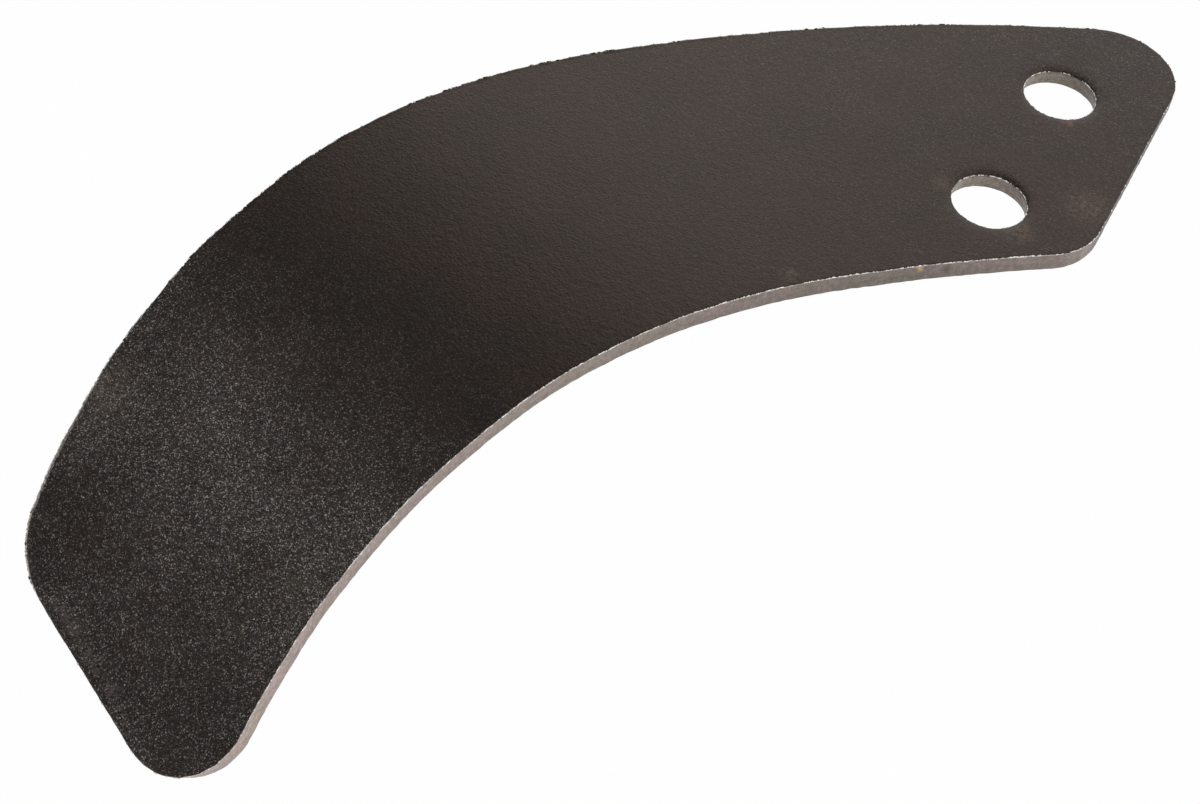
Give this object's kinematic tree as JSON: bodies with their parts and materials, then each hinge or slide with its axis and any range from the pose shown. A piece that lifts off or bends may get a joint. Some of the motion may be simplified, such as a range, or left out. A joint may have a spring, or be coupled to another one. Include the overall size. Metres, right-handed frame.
{
  "type": "rotary tiller blade",
  "caption": "Hooked flat tiller blade with two bolt holes in its shank, a rounded cut end and a broad tip that curves away sideways.",
  "frame": {"origin": "midway between the two bolt holes, on the flange face", "axes": "+Z square to the shank, from the flange face to the convex face; +Y along the hole line towards the outer edge; +X towards the cut end. The blade hooks towards -X and -Y and its tip curves down"},
  "size_m": [0.1638, 0.2676, 0.052],
  "materials": {
    "black_paint": "thin satin black paint over rolled steel, speckled towards the tip, pale along the cut edges"
  },
  "bodies": {
    "root": {"blade": "black_paint"}
  },
  "joints": []
}
